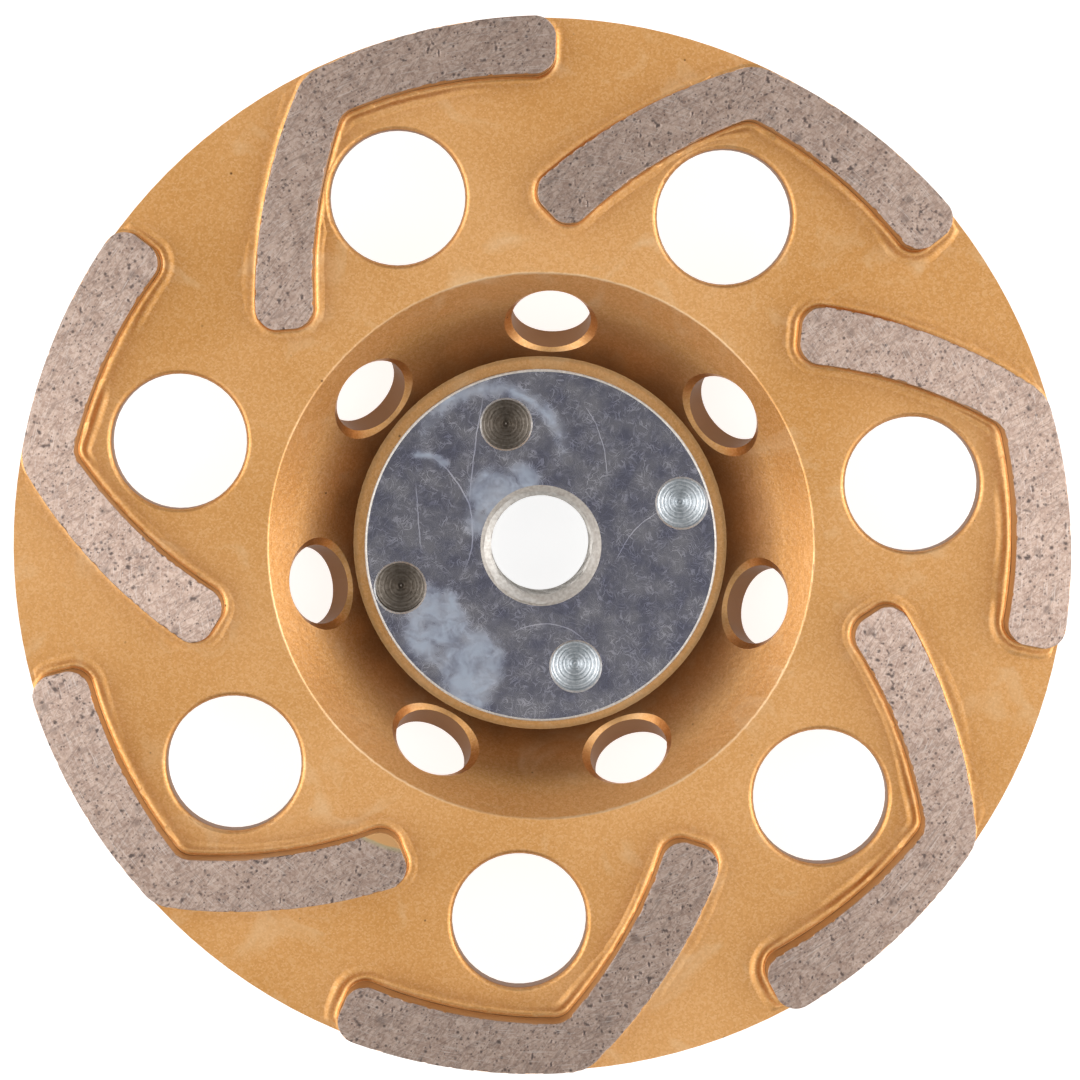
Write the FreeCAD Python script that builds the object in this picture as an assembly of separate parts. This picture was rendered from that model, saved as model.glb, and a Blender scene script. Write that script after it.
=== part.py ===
import FreeCAD, Part
import math
import os

# Diamond cup wheel for an angle grinder, in millimetres.
# The wheel's axis is Z and its working side looks up. The origin is the centre of the hub's back
# face, which seats on the spindle flange. Angles are counted anticlockwise from +X, seen from above.

# Steel cup
wheel_d = 125.0
plate_t = 4.0
cup_mouth_d = 64.8
cup_depth = 9.9
cone_wall_t = 3.1
web_t = 4.0
rim_back_edge = 0.5
mouth_edge_r = 0.3
back_bend_r = 2.5

# Hub and its seat in the web
hub_d = 42.0
hub_groove_w = 1.5
hub_below_plate = 2.4
hub_edge_chamfer = 0.3
spigot_d = 30.0
spigot_past_web = 3.0
spigot_chamfer = 0.6
spigot_fit = 0.05

# M14x2 thread for the spindle: the bore has the thread's minor diameter
thread_d = 14.0
thread_pitch = 2.0
thread_depth_share = 1.0825
thread_mouth_d = 14.4

# Blind holes for a pin spanner: two pairs on crossed lines through the axis
pin_hole_d = 5.9
pin_hole_depth = 4.0
pin_hole_chamfer = 0.2
pin_point_angle = 118.0
near_pair_pitch = 30.0
near_pair_angle = 106.0
far_pair_pitch = 35.0
far_pair_angle = 16.7

# Seven round vent holes through the plate, in the room between the cup's mouth and the elbows
station_count = 7
vent_mouth_land = 4.25
vent_elbow_gap = 3.45
vent_first_angle = 9.5
vent_edge_r = 0.6

# Seven dust holes drilled and countersunk square to the cone
dust_d = 9.5
dust_mouth_d = 10.3
dust_share_up_cone = 0.424
dust_first_angle = 35.9

# Seven bent diamond segments: two equal arms, nearly as curved as the rim and widest at their ends
segment_h = 6.0
arm_end_w = 7.0
arm_elbow_w = 5.9
elbow_inside_rim = 0.5
inner_tip_clear = 7.13
elbow_turn = 41.4
end_corner_r = 2.5
elbow_outer_r = 5.0
elbow_inner_r = 2.5
elbow_first_angle = 118.1
# Each segment was set by hand, so each is turned a little about the wheel's axis
hand_set_turns = [-2.4, 0.1, 0.8, 1.4, 1.1, 0.7, -1.5]

# Braze seam: a hollow meniscus round each segment's foot
seam_r = 0.8
seam_bite = 0.1

# Heights along the axis
web_back_z = spigot_past_web
web_top_z = web_back_z + web_t
plate_top_z = web_top_z + cup_depth
plate_back_z = plate_top_z - plate_t
hub_face_z = plate_top_z - hub_below_plate
segment_top_z = plate_top_z + segment_h

# Radii that follow from the driving sizes
wheel_r = wheel_d / 2
cup_mouth_r = cup_mouth_d / 2
hub_r = hub_d / 2
cone_foot_r = hub_r + hub_groove_w
cone_slope = math.degrees(math.atan2(cup_depth, cup_mouth_r - cone_foot_r))
spigot_r = spigot_d / 2
web_bore_r = spigot_r + spigot_fit
thread_minor_r = (thread_d - thread_depth_share * thread_pitch) / 2
elbow_mid_r = wheel_r - elbow_inside_rim - arm_elbow_w / 2
vent_inner_r = cup_mouth_r + vent_mouth_land
vent_outer_r = elbow_mid_r - arm_elbow_w / 2 - vent_elbow_gap
vent_d = vent_outer_r - vent_inner_r
station_step = 360.0 / station_count

# An arm is as long as it takes to end at the named distance from the cup's mouth: its angle about
# the axis comes from the triangle of the axis, the arm's end and the axis mirrored in the elbow
arm_end_r = wheel_r - arm_end_w / 2
inner_tip_r = cup_mouth_r + inner_tip_clear
mirrored_axis_r = 2 * elbow_mid_r * math.sin(math.radians(elbow_turn / 2))
triangle_cosine = arm_end_r ** 2 + mirrored_axis_r ** 2 - inner_tip_r ** 2
triangle_cosine /= 2 * arm_end_r * mirrored_axis_r
arm_arc = 90 - elbow_turn / 2 - math.degrees(math.acos(triangle_cosine))

# Drills and the turned blank reach this far past the faces that they cut
overrun = 2.0
# A rounded hole's edge meets the plate's face at this small angle, over this small distance
lip_slope = 10.0
lip_run = 0.1
# Two heights closer than this are the same height
tiny = 0.01

UP = FreeCAD.Vector(0, 0, 1)
CENTRE = FreeCAD.Vector(0, 0, 0)


def at_angle(radius, angle):
    """Point in the XY plane at a radius and an angle in degrees about the wheel's axis."""
    turn = math.radians(angle)
    return FreeCAD.Vector(radius * math.cos(turn), radius * math.sin(turn), 0)


def rounded_wire(corners):
    """Closed outline in the XZ plane from (x, z, radius) corners, with tangent arcs at them."""
    edges = []
    last_end = None
    first_start = None
    count = len(corners)
    for i in range(count):
        x, z, radius = corners[i]
        corner = FreeCAD.Vector(x, 0, z)
        back = FreeCAD.Vector(corners[i - 1][0], 0, corners[i - 1][1]) - corner
        ahead = FreeCAD.Vector(corners[(i + 1) % count][0], 0, corners[(i + 1) % count][1]) - corner
        start = corner
        end = corner
        arc = None
        if radius > 0:
            half = back.getAngle(ahead) / 2
            back.normalize()
            ahead.normalize()
            run = radius / math.tan(half)
            start = corner + back * run
            end = corner + ahead * run
            middle = (back + ahead).normalize()
            crown = corner + middle * (radius / math.sin(half) - radius)
            arc = Part.Arc(start, crown, end).toShape()
        if last_end is None:
            first_start = start
        else:
            edges.append(Part.makeLine(last_end, start))
        if arc is not None:
            edges.append(arc)
        last_end = end
    edges.append(Part.makeLine(last_end, first_start))
    return Part.Wire(edges)


def turned(corners):
    """Solid of revolution about the wheel's axis from (radius, z, corner radius) corners."""
    return Part.Face(rounded_wire(corners)).revolve(CENTRE, UP, 360)


def around(shape, first_angle, step=station_step, count=station_count):
    """Copies of a shape on a circle about the wheel's axis."""
    copies = []
    for k in range(count):
        copy = shape.copy()
        copy.rotate(CENTRE, UP, first_angle + k * step)
        copies.append(copy)
    return copies


def countersunk_drill(hole_d, mouth_d, depth):
    """Drill along -Z from a surface at z = 0, with a 45 degree countersink at its mouth."""
    sink = (mouth_d - hole_d) / 2
    drill = Part.makeCylinder(hole_d / 2, depth, CENTRE, -UP)
    cone = Part.makeCone(mouth_d / 2 + overrun, hole_d / 2, sink + overrun, UP * overrun, -UP)
    return drill.fuse(cone)


def rounding_drill(hole_d, edge_r, depth):
    """Drill along -Z that also rounds the hole's edge on a surface at z = 0."""
    rise = math.tan(math.radians(lip_slope))
    hole_r = hole_d / 2
    lip_r = hole_r + edge_r + lip_run
    return turned([
        (0, -depth, 0),
        (hole_r, -depth, 0),
        (hole_r, -edge_r * rise, edge_r),
        (lip_r, lip_run * rise, 0),
        (lip_r, overrun, 0),
        (0, overrun, 0),
    ])


def mirrored_across_elbow(point):
    """Mirror image of a point across the line that halves a segment's bend."""
    normal = at_angle(1.0, 90 + elbow_turn / 2)
    distance = (point - at_angle(elbow_mid_r, 0)).dot(normal)
    return point - normal * (2 * distance)


def segment_prism(inset, base_z, height):
    """One bent segment with its elbow at angle zero, drawn in by an inset all round."""
    half_w = (arm_elbow_w / 2 - inset) / math.cos(math.radians(elbow_turn / 2))
    outer_bend = at_angle(elbow_mid_r, 0) + at_angle(half_w, elbow_turn / 2)
    inner_bend = at_angle(elbow_mid_r, 0) - at_angle(half_w, elbow_turn / 2)
    outer_r = wheel_r - inset
    inner_r = wheel_r - arm_end_w + inset
    end_angle = math.degrees(inset / elbow_mid_r) - arm_arc
    outer_end = at_angle(outer_r, end_angle)
    inner_end = at_angle(inner_r, end_angle)
    outer_mid = at_angle((outer_r + outer_bend.Length) / 2, end_angle / 2)
    inner_mid = at_angle((inner_r + inner_bend.Length) / 2, end_angle / 2)
    far_outer_end = mirrored_across_elbow(outer_end)
    far_inner_end = mirrored_across_elbow(inner_end)

    outline = Part.Wire([
        Part.Arc(outer_end, outer_mid, outer_bend).toShape(),
        Part.Arc(outer_bend, mirrored_across_elbow(outer_mid), far_outer_end).toShape(),
        Part.makeLine(far_outer_end, far_inner_end),
        Part.Arc(far_inner_end, mirrored_across_elbow(inner_mid), inner_bend).toShape(),
        Part.Arc(inner_bend, inner_mid, inner_end).toShape(),
        Part.makeLine(inner_end, outer_end),
    ])
    prism = Part.Face(outline).extrude(UP * height)
    corner_radii = [
        (outer_bend, elbow_outer_r - inset),
        (inner_bend, elbow_inner_r + inset),
        (outer_end, end_corner_r - inset),
        (inner_end, end_corner_r - inset),
        (far_outer_end, end_corner_r - inset),
        (far_inner_end, end_corner_r - inset),
    ]
    for corner, radius in corner_radii:
        prism = prism.makeFillet(radius, [upright_edge_at(prism, corner)])
    prism.translate(UP * base_z)
    return prism


def upright_edge_at(solid, corner):
    """The vertical edge of a prism that stands on one corner of its outline."""
    upright = [edge for edge in solid.Edges if edge.BoundBox.ZLength > tiny]
    return min(upright, key=lambda edge: edge.distToShape(Part.Vertex(corner))[0])


def segment_places(shape):
    """A shape drawn at the first elbow, copied to the seven hand-set segment places."""
    places = []
    for k in range(station_count):
        copy = shape.copy()
        copy.rotate(CENTRE, UP, elbow_first_angle + k * station_step + hand_set_turns[k])
        places.append(copy)
    return places


def cup_blank(outer_r):
    """The cup turned to its section: flat plate, conical wall and flat web."""
    slope = math.radians(cone_slope)
    back_r = cone_foot_r + cone_wall_t * math.sin(slope)
    back_z = web_top_z - cone_wall_t * math.cos(slope)
    back_foot_r = back_r + (web_back_z - back_z) / math.tan(slope)
    back_mouth_r = back_r + (plate_back_z - back_z) / math.tan(slope)
    return turned([
        (web_bore_r, web_back_z, 0),
        (back_foot_r, web_back_z, back_bend_r),
        (back_mouth_r, plate_back_z, back_bend_r),
        (outer_r, plate_back_z, 0),
        (outer_r, plate_top_z, 0),
        (cup_mouth_r, plate_top_z, mouth_edge_r),
        (cone_foot_r, web_top_z, 0),
        (web_bore_r, web_top_z, 0),
    ])


def with_braze_seams(blank):
    """The blank with a hollow seam raised where each segment's foot will stand."""
    pad = segment_prism(seam_bite, plate_top_z - overrun, overrun + 2 * seam_r)
    blank = blank.fuse(segment_places(pad)).removeSplitter()
    return blank.makeFillet(seam_r, [edge for edge in blank.Edges if at_segment_foot(edge)])


def at_segment_foot(edge):
    """Whether an edge lies in the plate's top face between the cup's mouth and the rim."""
    box = edge.BoundBox
    if max(abs(box.ZMin - plate_top_z), abs(box.ZMax - plate_top_z)) > tiny:
        return False
    middle = edge.valueAt(sum(edge.ParameterRange) / 2)
    radius = math.hypot(middle.x, middle.y)
    return cup_mouth_r + overrun < radius < wheel_r + overrun


def dust_drills():
    """Countersunk drills set square to the cone, one for each dust hole."""
    mouth_r = cone_foot_r + dust_share_up_cone * (cup_mouth_r - cone_foot_r)
    mouth_z = web_top_z + dust_share_up_cone * cup_depth
    drill = countersunk_drill(dust_d, dust_mouth_d, cone_wall_t + overrun)
    drill.rotate(CENTRE, FreeCAD.Vector(0, 1, 0), -cone_slope)
    drill.translate(FreeCAD.Vector(mouth_r, 0, mouth_z))
    return around(drill, dust_first_angle)


def vent_drills():
    """Drills for the round holes through the plate, which round the edges that they leave."""
    drill = rounding_drill(vent_d, vent_edge_r, plate_t + overrun)
    drill.translate(FreeCAD.Vector((vent_inner_r + vent_outer_r) / 2, 0, plate_top_z))
    return around(drill, vent_first_angle)


def rim_gauge():
    """Everything that the turned rim leaves standing, with a broken edge at the back."""
    return turned([
        (0, plate_back_z, 0),
        (wheel_r - rim_back_edge, plate_back_z, 0),
        (wheel_r, plate_back_z + rim_back_edge, 0),
        (wheel_r, segment_top_z, 0),
        (0, segment_top_z, 0),
    ]).fuse(Part.makeCylinder(wheel_r - rim_back_edge, plate_back_z))


def cup_body():
    """Steel cup with braze seams, segment seats, vent holes and dust holes."""
    body = with_braze_seams(cup_blank(wheel_r + 2 * overrun))
    seats = segment_places(segment_prism(0.0, plate_top_z, segment_h))
    body = body.cut(seats)
    body = body.cut(vent_drills())
    body = body.cut(dust_drills())
    return body.common(rim_gauge()).removeSplitter()


def hub_insert():
    """Turned hub with the spindle thread's bore and four blind pin spanner holes."""
    mouth_r = thread_mouth_d / 2
    mouth_depth = mouth_r - thread_minor_r
    hub = turned([
        (thread_minor_r, mouth_depth, 0),
        (mouth_r, 0, 0),
        (spigot_r - spigot_chamfer, 0, 0),
        (spigot_r, spigot_chamfer, 0),
        (spigot_r, web_top_z, 0),
        (hub_r, web_top_z, 0),
        (hub_r, hub_face_z - hub_edge_chamfer, 0),
        (hub_r - hub_edge_chamfer, hub_face_z, 0),
        (mouth_r, hub_face_z, 0),
        (thread_minor_r, hub_face_z - mouth_depth, 0),
    ])
    return hub.cut(pin_drills())


def pin_drills():
    """Drills with pointed ends for the two pairs of pin spanner holes."""
    radius = pin_hole_d / 2
    point_h = radius / math.tan(math.radians(pin_point_angle / 2))
    drill = countersunk_drill(pin_hole_d, pin_hole_d + 2 * pin_hole_chamfer, pin_hole_depth)
    point = Part.makeCone(radius, 0, point_h, -UP * pin_hole_depth, -UP)
    drill = drill.fuse(point)
    pairs = []
    for pitch, angle in [(near_pair_pitch, near_pair_angle), (far_pair_pitch, far_pair_angle)]:
        placed = drill.copy()
        placed.translate(FreeCAD.Vector(pitch / 2, 0, hub_face_z))
        pairs += around(placed, angle, 180.0, 2)
    return pairs


def diamond_segments():
    """The seven segments, seated on the plate and flush with the rim."""
    return segment_places(segment_prism(0.0, plate_top_z, segment_h))


os.makedirs("parts", exist_ok=True)
nodes = {"cup_body": cup_body(), "hub_insert": hub_insert()}
for number, segment in enumerate(diamond_segments(), start=1):
    nodes["diamond_segment_%d" % number] = segment
for name, shape in nodes.items():
    shape.exportStep("parts/%s.step" % name)
    print(name, "valid", shape.isValid(), "solids", len(shape.Solids), "volume", round(shape.Volume, 1))
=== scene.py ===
import bpy
import itertools
import math
import numpy as np
from mathutils import Matrix, Vector
from mathutils.geometry import tessellate_polygon


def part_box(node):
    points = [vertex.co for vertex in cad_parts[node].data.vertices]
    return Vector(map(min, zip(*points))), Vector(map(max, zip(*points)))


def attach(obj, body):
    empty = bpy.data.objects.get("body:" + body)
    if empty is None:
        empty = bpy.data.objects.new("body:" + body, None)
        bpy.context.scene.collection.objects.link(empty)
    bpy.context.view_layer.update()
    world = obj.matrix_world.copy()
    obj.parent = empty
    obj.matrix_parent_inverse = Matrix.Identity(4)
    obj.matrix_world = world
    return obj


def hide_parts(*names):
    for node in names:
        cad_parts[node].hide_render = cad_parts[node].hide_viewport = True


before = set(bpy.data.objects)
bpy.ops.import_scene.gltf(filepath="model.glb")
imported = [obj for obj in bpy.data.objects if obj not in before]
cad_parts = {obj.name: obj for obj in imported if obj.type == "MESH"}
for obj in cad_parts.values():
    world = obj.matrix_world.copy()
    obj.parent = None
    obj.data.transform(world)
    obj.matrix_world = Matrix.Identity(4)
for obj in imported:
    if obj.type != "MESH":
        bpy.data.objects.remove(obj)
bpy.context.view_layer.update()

# Diamond cup wheel for an angle grinder. Its axis is Z and its working side looks up.
# Shapes are drawn in millimetres and made in metres. Angles are in degrees anticlockwise from +X.
MM = 0.001

# Sizes taken from the frame
hub_low, hub_high = (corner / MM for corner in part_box("hub_insert"))
segment_low, segment_high = (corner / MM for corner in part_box("diamond_segment_1"))
WHEEL_R = 62.5
PLATE_TOP = segment_low.z
SEGMENT_TOP = segment_high.z
HUB_R = hub_high.x
HUB_FACE = hub_high.z
WEB_TOP = 7.0
CUP_MOUTH_R = 32.4
CONE_FOOT_R = HUB_R + 1.6
STATION_COUNT = 7
STATION_STEP = 360 / STATION_COUNT

# Bent segments
ARM_END_W = 7.0
ARM_ELBOW_W = 5.9
ELBOW_SET_IN = 0.5
ELBOW_MID_R = WHEEL_R - ELBOW_SET_IN - ARM_ELBOW_W / 2
ARM_ARC = 27.3
ELBOW_TURN = 41.4
END_CORNER_R = 2.5
ELBOW_OUTER_R = 5.0
ELBOW_INNER_R = 2.5
ELBOW_FIRST_ANGLE = 118.1
HAND_SET_TURNS = [-2.4, 0.1, 0.8, 1.4, 1.1, 0.7, -1.5]
# Ends this far inside the rim's wall, so that the two walls don't lie in each other
RIM_GAP = 0.01
# Ground top: how deep its pits are and its edge is rubbed down
PIT_DEPTH = 0.08
EDGE_RUBBED = 0.05
# Chips along the top's edge: the least, how much more the worst are, and how soon they fade
CHIP_LEAST = 0.05
CHIP_MORE = 0.22
CHIP_FADE = 0.3
WALL_LUMP = 0.04
# The disc whose inside holds the one corner that wasn't ground
UNGROUND_DISC = (-14.8, -23.5)
UNGROUND_R = 12.0

# Vent holes
VENT_R = 8.0
VENT_EDGE = 0.6
VENT_CIRCLE_R = 44.65
VENT_FIRST_ANGLE = 9.5

# Hub
HUB_EDGE = 0.3
SPIGOT_R = 15.0
SPIGOT_EDGE = 0.6
THREAD_MINOR_R = 5.9175
THREAD_MOUTH_R = 7.2
THREAD_PITCH = 2.0
THREAD_DEPTH = 1.0825
PIN_HOLE_R = 2.95
PIN_HOLE_DEPTH = 4.0
PIN_HOLE_EDGE = 0.2
PIN_POINT_DEPTH = 1.77
PIN_RING_SHADED_COPY = 0.006
PIN_RING_LIT_COPY = 0.011
PIN_DIMPLE_SHARE = 0.12
# Pin holes by radius, angle and whether they take the darker, shaded copy of the drilled steel,
# which is painted shade
PIN_HOLES = [(15.0, 106.0, True), (15.0, 286.0, False), (17.5, 16.7, False), (17.5, 196.7, True)]

# Braze bead round each segment's foot, by how far round it: wide and low on the outer side,
# ridged round the inner elbow, and stronger on some segments than on others
BEAD_WALL_H = 0.55
BEAD_WALL_REACH = 0.22
BEAD_PLACES = [0, 0.27, 0.33, 0.4, 0.56, 0.64, 0.72, 0.93, 1]
BEAD_WIDTHS = [2.8, 2.8, 2.1, 1.8, 1.9, 2.4, 2.7, 2.7, 2.2]
BEAD_CRESTS = [0.045, 0.05, 0.1, 0.04, 0.06, 0.18, 0.19, 0.18, 0.1]
BEAD_STRENGTHS = [1.0, 0.75, 0.55, 0.9, 1.1, 1.0, 0.85]
BEAD_CREST_AT = 0.42
BEAD_CREST_REACH = 0.2
BEAD_RIM_GAP = 0.02
BEAD_RIM_ROOM = 0.15
BEAD_LEAST_ROOM = 0.1
BEAD_END_RUN = 1.5
BEAD_GRAIN = 0.012
BEAD_EDGE_SINK = 0.015
BEAD_FOOT_DEPTH = 0.3

# How soon a short scratch ends, on the scale of the noise that it is drawn from
SCRATCH_EDGE = 0.08
# Marks on the hub's face, each an arc through three points and its half width
SCRATCHES = [
    ((-12.6, 10.3), (-8.6, 4.8), (-9.6, -3.7), 0.09),
    ((-6.8, 17.8), (-7.9, 11.2), (-8.6, 4.3), 0.07),
    ((-14.9, 7.2), (-14.6, 3.4), (-14.2, -0.9), 0.06),
    ((5.2, 16.8), (7.3, 12.4), (7.9, 8.6), 0.06),
    ((8.8, -2.1), (11.0, 1.6), (14.1, 4.0), 0.06),
    ((-3.5, -10.6), (1.2, -9.4), (5.6, -11.8), 0.06),
]
# Hazy bands, each an arc as a mark is
HAZE_BANDS = [
    ((-14.6, 11.9), (-4.9, 18.6), (2.9, 9.6), 1.3),
    ((-15.6, 10.6), (-13.2, 10.7), (-10.9, 9.4), 0.7),
    ((-11.6, -4.9), (-10.1, -8.4), (-9.6, -12.6), 1.2),
]
# Hazy patches by place and radius
HAZE_PATCHES = [
    (-5.9, 6.3, 2.8), (-2.4, 7.6, 2.1), (-7.6, 2.8, 1.4), (-12.4, -10.2, 3.9),
    (-8.4, -14.0, 4.0), (-13.6, -7.2, 2.2), (-8.4, -17.4, 2.6),
]


def soft_noise(points, size, seed):
    """Smooth noise from -1 to 1 at points in millimetres, with features of one size."""
    table = np.random.RandomState(seed).uniform(-1, 1, (32, 32, 32))
    cell = np.asarray(points, float) / size
    low = np.floor(cell).astype(int)
    part = cell - low
    part = part * part * (3 - 2 * part)
    total = np.zeros(len(cell))
    for corner in itertools.product((0, 1), repeat=3):
        weight = np.prod(np.where(corner, part, 1 - part), axis=1)
        index = (low + corner) % 32
        total += weight * table[index[:, 0], index[:, 1], index[:, 2]]
    return total


def smooth_step(low, high, value):
    """0 below one value, 1 above another, and an even S between them."""
    part = np.clip((value - low) / (high - low), 0, 1)
    return part * part * (3 - 2 * part)


def polar(radius, angle):
    """Point or points in the plane at a radius and an angle."""
    turn = np.radians(angle)
    return np.stack([radius * np.cos(turn), radius * np.sin(turn)], axis=-1)


def turned(points, angle):
    """Points in the plane turned about the wheel's axis."""
    across, up = polar(1.0, angle), polar(1.0, angle + 90)
    return points[:, :1] * across + points[:, 1:2] * up


def grid_faces(rows, columns, first=0, closed=False):
    """Quads of a grid of points numbered row by row, with its columns joined up if closed."""
    faces = []
    for row in range(rows - 1):
        for column in range(columns if closed else columns - 1):
            after = (column + 1) % columns
            here, above = first + row * columns, first + (row + 1) * columns
            faces.append((here + column, here + after, above + after, above + column))
    return faces


def new_piece(name, points, faces, materials, nodes=(), sharp=None):
    """A smooth mesh from points in millimetres, riding on the wheel's one body.

    Edges that turn by more than the degrees in sharp, where given, stay sharp.
    """
    mesh = bpy.data.meshes.new(name)
    mesh.from_pydata((np.asarray(points) * MM).tolist(), [], faces)
    mesh.polygons.foreach_set("use_smooth", [True] * len(mesh.polygons))
    if sharp:
        mesh.set_sharp_from_angle(angle=math.radians(sharp))
    for material in materials:
        mesh.materials.append(material)
    piece = bpy.data.objects.new(name, mesh)
    bpy.context.scene.collection.objects.link(piece)
    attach(piece, "root")
    if nodes:
        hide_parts(*nodes)
    return piece


# Materials


def linear(code):
    """Linear colour from an sRGB hex value."""
    parts = [int(code[i:i + 2], 16) / 255 for i in (1, 3, 5)]
    return [p / 12.92 if p <= 0.04045 else ((p + 0.055) / 1.055) ** 2.4 for p in parts] + [1.0]


def per_mm(size):
    """Texture scale in metres that gives features of a size in millimetres."""
    return 1 / (size * MM)


def add(tree, kind, links, stops=(), **settings):
    """Adds a node: a socket among its inputs is linked, and any other value is set."""
    made = tree.nodes.new(kind)
    for key, value in settings.items():
        setattr(made, key, value)
    for key, value in links.items():
        if isinstance(value, bpy.types.NodeSocket):
            tree.links.new(value, made.inputs[key])
        else:
            made.inputs[key].default_value = value
    for i, (place, code) in enumerate(stops):
        if i > 1:
            made.color_ramp.elements.new(place)
        made.color_ramp.elements[i].position = place
        made.color_ramp.elements[i].color = linear(code)
    return made


def new_material(name):
    """An empty node material with its node tree and its shader."""
    material = bpy.data.materials.new(name)
    material.use_nodes = True
    return material, material.node_tree, material.node_tree.nodes["Principled BSDF"]


def greatest(tree, parts):
    """The greatest of several values."""
    total = 0.0
    for part in parts:
        total = add(tree, "ShaderNodeMath", {0: total, 1: part}, operation="MAXIMUM").outputs[0]
    return total


def layered(tree, colour, coats):
    """A colour with coats laid over it in turn, each as far as its part from 0 to 1 says."""
    for part, coat in coats:
        if not isinstance(coat, bpy.types.NodeSocket):
            coat = linear(coat)
        colour = add(tree, "ShaderNodeMix", {0: part, 6: colour, 7: coat},
                     data_type="RGBA").outputs[2]
    return colour


def flattened(tree, place):
    """A place brought straight down to the plane across the wheel's axis."""
    return add(tree, "ShaderNodeVectorMath", {0: place, 1: (1, 1, 0)},
               operation="MULTIPLY").outputs[0]


def wobbled(tree, place, size, amount, detail=4.0):
    """Flattened places moved about by a noise, so that what is drawn on them has uneven edges."""
    noise = add(tree, "ShaderNodeTexNoise",
                {"Vector": place, "Scale": per_mm(size), "Detail": detail})
    centred = add(tree, "ShaderNodeVectorMath",
                  {0: noise.outputs["Color"], 1: (0.5, 0.5, 0.5)}, operation="SUBTRACT")
    moved = add(tree, "ShaderNodeVectorMath",
                {0: centred.outputs[0], 1: (amount * MM,) * 3, 2: place},
                operation="MULTIPLY_ADD")
    return flattened(tree, moved.outputs[0])


def near(tree, place, x, y, close, far):
    """1 up to one distance from a point in millimetres, and 0 from a farther one on."""
    gap = add(tree, "ShaderNodeVectorMath", {0: place, 1: (x * MM, y * MM, 0)},
              operation="DISTANCE")
    return add(tree, "ShaderNodeMapRange",
               {"Value": gap.outputs["Value"], "From Min": close * MM, "From Max": far * MM,
                "To Min": 1.0, "To Max": 0.0}).outputs[0]


def arc_marks(tree, place, marks, hard):
    """1 on marks that are arcs through three points, fading over their width and at their ends."""
    parts = []
    for first, middle, last, half_w in marks:
        centre, radius = circle_through(*(np.array(p) for p in (first, middle, last)))
        ring = near(tree, place, *centre, radius - half_w, radius - hard * half_w)
        disc = near(tree, place, *centre, radius + hard * half_w, radius + half_w)
        band = add(tree, "ShaderNodeMath", {0: disc, 1: ring}, operation="SUBTRACT")
        reach = max(math.dist(middle, first), math.dist(middle, last))
        ends = near(tree, place, *middle, 0.6 * reach, reach)
        parts.append(add(tree, "ShaderNodeMath", {0: band.outputs[0], 1: ends},
                         operation="MULTIPLY").outputs[0])
    return greatest(tree, parts)


def short_scratches(tree, place, width, length, angles, share):
    """1 on short, straight scratches that lie at several angles, and 0 between them."""
    parts = []
    for angle in angles:
        lines = add(tree, "ShaderNodeMapping",
                    {"Vector": place, "Rotation": (0, 0, math.radians(angle)),
                     "Location": (angle * MM, 0, 0)})
        size = (per_mm(width), per_mm(length), per_mm(length))
        stretched = add(tree, "ShaderNodeVectorMath", {0: lines.outputs[0], 1: size},
                        operation="MULTIPLY")
        noise = add(tree, "ShaderNodeTexNoise",
                    {"Vector": stretched.outputs[0], "Scale": 1.0, "Detail": 0.0})
        parts.append(add(tree, "ShaderNodeMapRange",
                         {"Value": noise.outputs["Fac"], "From Min": share,
                          "From Max": share + SCRATCH_EDGE}).outputs[0])
    return greatest(tree, parts)


def specks(tree, place, size, reach, rarity):
    """1 in scattered specks: the part of each cell near its middle, in the rarer cells."""
    cell = add(tree, "ShaderNodeTexVoronoi", {"Vector": place, "Scale": per_mm(size)})
    kept = add(tree, "ShaderNodeSeparateColor", {"Color": cell.outputs["Color"]})
    middle = add(tree, "ShaderNodeMapRange",
                 {"Value": cell.outputs["Distance"], "From Min": 0.4 * reach, "From Max": reach,
                  "To Min": 1.0, "To Max": 0.0})
    some = add(tree, "ShaderNodeMapRange",
               {"Value": kept.outputs["Green"], "From Min": rarity,
                "From Max": rarity + 0.5 * (1 - rarity)})
    return add(tree, "ShaderNodeMath", {0: middle.outputs[0], 1: some.outputs[0]},
               operation="MULTIPLY").outputs[0]


def inner_walls(tree, place):
    """1 on walls across the plate or across the cup's cone, and 0 elsewhere and at the rim."""
    normal = add(tree, "ShaderNodeNewGeometry", {}).outputs["Normal"]
    upright = add(tree, "ShaderNodeSeparateXYZ", {"Vector": normal}).outputs["Z"]
    flat = flattened(tree, place)
    outward = add(tree, "ShaderNodeVectorMath", {0: flat}, operation="NORMALIZE")
    leaning = add(tree, "ShaderNodeVectorMath", {0: normal, 1: outward.outputs[0]},
                  operation="DOT_PRODUCT")
    leaning = add(tree, "ShaderNodeMath", {0: upright, 1: leaning.outputs["Value"]},
                  operation="SUBTRACT")
    leaning = add(tree, "ShaderNodeMath", {0: leaning.outputs[0], 1: math.sqrt(0.5)},
                  operation="MULTIPLY")
    in_cup = near(tree, flat, 0, 0, CUP_MOUTH_R - 0.1, CUP_MOUTH_R)
    on_floor = near(tree, flat, 0, 0, CONE_FOOT_R, CONE_FOOT_R + 0.2)
    on_cone = add(tree, "ShaderNodeMath", {0: in_cup, 1: on_floor}, operation="SUBTRACT")
    facing = add(tree, "ShaderNodeMix", {0: on_cone.outputs[0], 2: upright, 3: leaning.outputs[0]})
    facing = add(tree, "ShaderNodeMath", {0: facing.outputs[0]}, operation="ABSOLUTE")
    wall = add(tree, "ShaderNodeMapRange",
               {"Value": facing.outputs[0], "From Min": 0.25, "From Max": 0.6,
                "To Min": 1.0, "To Max": 0.0})
    inner = near(tree, flat, 0, 0, WHEEL_R - 2, WHEEL_R - 1.5)
    return add(tree, "ShaderNodeMath", {0: wall.outputs[0], 1: inner},
               operation="MULTIPLY").outputs[0]


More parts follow.
